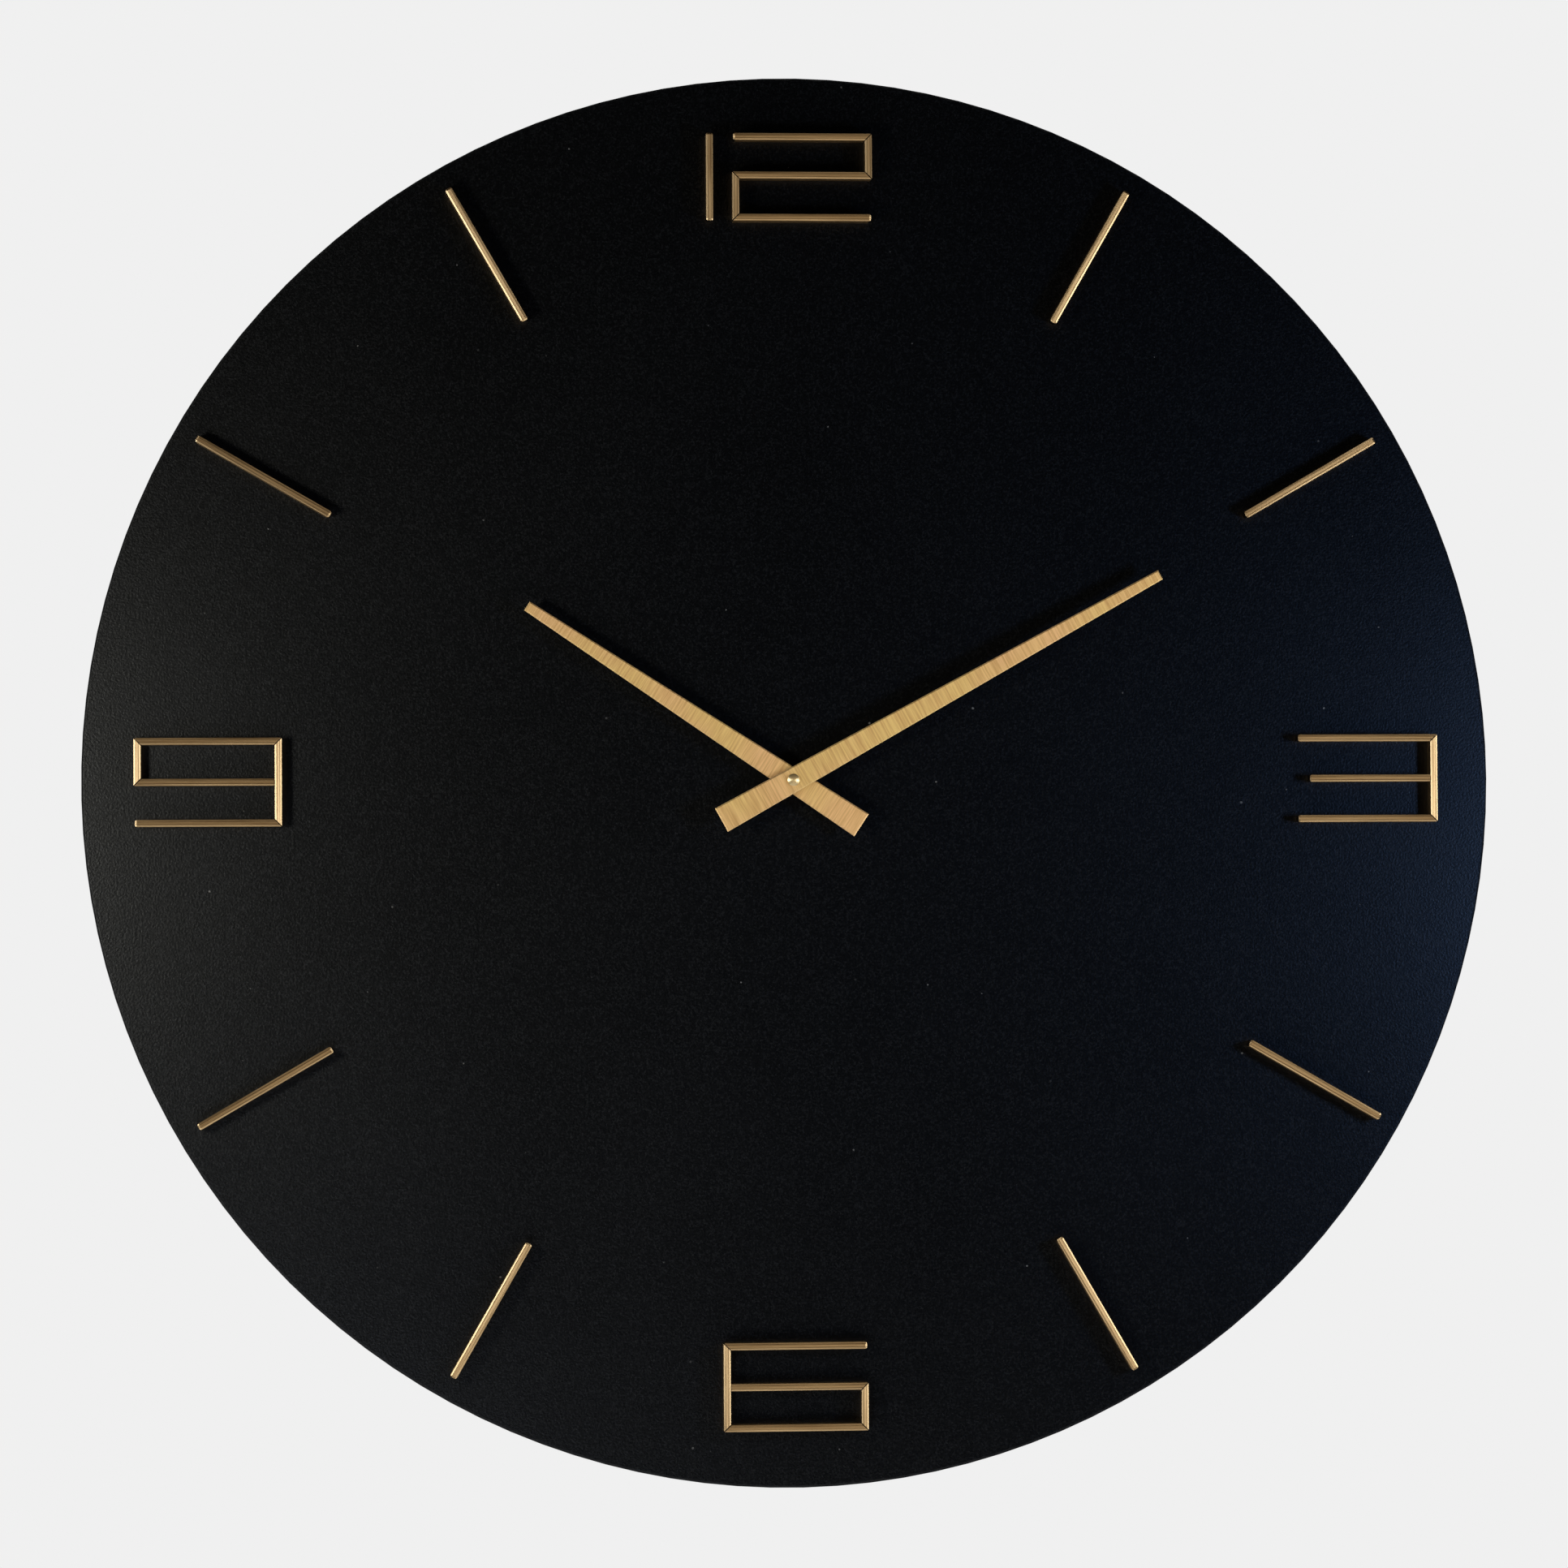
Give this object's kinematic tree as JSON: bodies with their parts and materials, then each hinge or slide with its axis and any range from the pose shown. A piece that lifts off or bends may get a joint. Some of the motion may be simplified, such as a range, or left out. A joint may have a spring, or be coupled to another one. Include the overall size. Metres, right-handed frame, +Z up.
{
  "type": "wall clock",
  "caption": "Round flat wall clock with strip numerals, two tapered hands, a spacer ring with a keyhole hanger and a battery movement with its gear train.",
  "frame": {"origin": "on the hand axis, at the back face of the spacer ring, which lies on the wall", "axes": "+Z up, +Y into the wall, so the dial faces -Y; +X to the viewer's right"},
  "size_m": [0.6999, 0.0448, 0.7],
  "materials": {
    "dial_lacquer": "satin lacquer",
    "ring_lacquer": "matt lacquer",
    "strip_brass": "satin polished",
    "hand_gold": "brushed across, gold",
    "nut_brass": "polished",
    "turned_brass": "turned",
    "hanger_steel": "zinc plated",
    "screw_steel": "zinc plated",
    "case_plastic": "moulded, fine texture",
    "cover_plastic": "moulded, fine texture",
    "knob_plastic": "moulded",
    "gear_plastic": "moulded",
    "gasket_rubber": "matt",
    "magnet": "sintered",
    "stator_iron": "stamped",
    "copper_wire": "enamelled",
    "board": "solder mask",
    "crystal_can": "drawn",
    "battery_sleeve": "plain sleeve",
    "contact_metal": "nickel plated"
  },
  "bodies": {
    "clock": {"dial_panel": "dial_lacquer", "spacer_ring": "ring_lacquer", "ring_screws": "screw_steel", "hanger_plate": "hanger_steel", "hanger_screws": "screw_steel", "movement_front_case": "case_plastic", "movement_back_cover": "cover_plastic", "shaft_bush": "turned_brass", "rubber_gasket": "gasket_rubber", "front_washer": "turned_brass", "lock_nut": "turned_brass", "stator": "stator_iron", "coil_bobbin": "gear_plastic", "coil_winding": "copper_wire", "circuit_board": "board", "quartz_crystal": "crystal_can", "contact_positive": "contact_metal", "contact_negative": "contact_metal", "marker_1": "strip_brass", "marker_2": "strip_brass", "marker_4": "strip_brass", "marker_5": "strip_brass", "marker_7": "strip_brass", "marker_8": "strip_brass", "marker_10": "strip_brass", "marker_11": "strip_brass", "twelve_one": "strip_brass", "twelve_two_top": "strip_brass", "twelve_two_upper_right": "strip_brass", "twelve_two_middle": "strip_brass", "twelve_two_lower_left": "strip_brass", "twelve_two_bottom": "strip_brass", "three_top": "strip_brass", "three_right": "strip_brass", "three_bottom": "strip_brass", "three_middle": "strip_brass", "six_top": "strip_brass", "six_left": "strip_brass", "six_bottom": "strip_brass", "six_lower_right": "strip_brass", "six_middle": "strip_brass", "nine_bottom": "strip_brass", "nine_right": "strip_brass", "nine_top": "strip_brass", "nine_upper_left": "strip_brass", "nine_middle": "strip_brass"},
    "minute": {"minute_shaft": "turned_brass", "minute_hand": "hand_gold", "hand_nut": "nut_brass"},
    "hour": {"hour_wheel": "gear_plastic", "hour_hand": "hand_gold"},
    "motion_wheel": {"minute_wheel": "gear_plastic"},
    "setting": {"setting_knob": "knob_plastic"},
    "rotor": {"rotor_pinion": "gear_plastic", "rotor_magnet": "magnet"},
    "fifth": {"fifth_wheel": "gear_plastic"},
    "second": {"second_wheel": "gear_plastic"},
    "third": {"third_wheel": "gear_plastic"},
    "centre": {"centre_wheel": "gear_plastic"},
    "cell": {"battery": "battery_sleeve"}
  },
  "joints": [
    {"name": "minute_hand_turn", "type": "hinge", "parent": "clock", "child": "minute", "pos_m": [0, -0.0196, 0], "axis": [0, 1, 0], "continuous": true},
    {"name": "hour_hand_turn", "type": "hinge", "parent": "clock", "child": "hour", "pos_m": [0, -0.0196, 0], "axis": [0, 1, 0], "continuous": true},
    {"name": "minute_wheel_turn", "type": "hinge", "parent": "clock", "child": "motion_wheel", "pos_m": [0.012, -0.0196, 0], "axis": [0, 1, 0], "continuous": true},
    {"name": "setting_knob_turn", "type": "hinge", "parent": "clock", "child": "setting", "pos_m": [0.02084, -0.0196, 0.00884], "axis": [0, 1, 0], "continuous": true},
    {"name": "rotor_turn", "type": "hinge", "parent": "clock", "child": "rotor", "pos_m": [-0.015, -0.0196, 0.00816], "axis": [0, 1, 0], "continuous": true},
    {"name": "fifth_wheel_turn", "type": "hinge", "parent": "clock", "child": "fifth", "pos_m": [-0.0112, -0.0196, 0], "axis": [0, 1, 0], "continuous": true},
    {"name": "second_wheel_turn", "type": "hinge", "parent": "clock", "child": "second", "pos_m": [0, -0.0196, 0], "axis": [0, 1, 0], "continuous": true},
    {"name": "third_wheel_turn", "type": "hinge", "parent": "clock", "child": "third", "pos_m": [0, -0.0196, 0.0112], "axis": [0, 1, 0], "continuous": true},
    {"name": "centre_wheel_turn", "type": "hinge", "parent": "clock", "child": "centre", "pos_m": [0, -0.0196, 0], "axis": [0, 1, 0], "continuous": true},
    {"name": "battery_slide", "type": "slide", "parent": "clock", "child": "cell", "axis": [0, 1, 0], "range_m": [0, 0.02]}
  ],
  "couplings": [
    {"joint": "hour_hand_turn", "follows": "minute_hand_turn", "ratio": 0.083333},
    {"joint": "minute_wheel_turn", "follows": "minute_hand_turn", "ratio": -0.33333},
    {"joint": "setting_knob_turn", "follows": "minute_hand_turn", "ratio": 0.85714},
    {"joint": "fifth_wheel_turn", "follows": "rotor_turn", "ratio": -0.2},
    {"joint": "second_wheel_turn", "follows": "rotor_turn", "ratio": 0.033333},
    {"joint": "third_wheel_turn", "follows": "rotor_turn", "ratio": -0.0044444},
    {"joint": "centre_wheel_turn", "follows": "rotor_turn", "ratio": 0.00055556}
  ]
}
